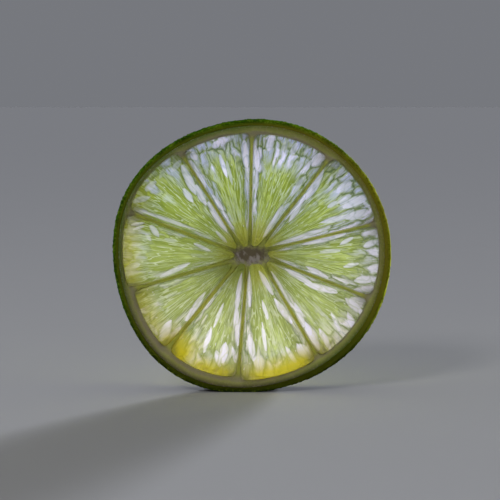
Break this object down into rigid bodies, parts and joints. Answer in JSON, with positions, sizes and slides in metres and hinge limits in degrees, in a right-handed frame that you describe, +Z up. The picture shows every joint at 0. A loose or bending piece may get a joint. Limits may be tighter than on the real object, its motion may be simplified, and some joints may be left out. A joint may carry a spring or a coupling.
{
  "type": "lime slice",
  "caption": "Thin round slice of lime standing on its edge: green peel, pale pith with membranes, and juice-sac segments on both cut faces.",
  "frame": {"origin": "middle of the slice's box, on the surface that it stands on", "axes": "+Z up, along the slice's height; the cut faces look along -Y (the one in the picture) and +Y; +X to the right as seen from -Y"},
  "size_m": [0.0517, 0.006, 0.0505],
  "materials": {
    "zest": "satin",
    "pith": "matte",
    "pulp": "gloss"
  },
  "bodies": {
    "root": {"rind": "zest", "pith": "pith", "pulp_01": "pulp", "pulp_02": "pulp", "pulp_03": "pulp", "pulp_04": "pulp", "pulp_05": "pulp", "pulp_06": "pulp", "pulp_07": "pulp", "pulp_08": "pulp", "pulp_09": "pulp", "pulp_10": "pulp"}
  },
  "joints": []
}
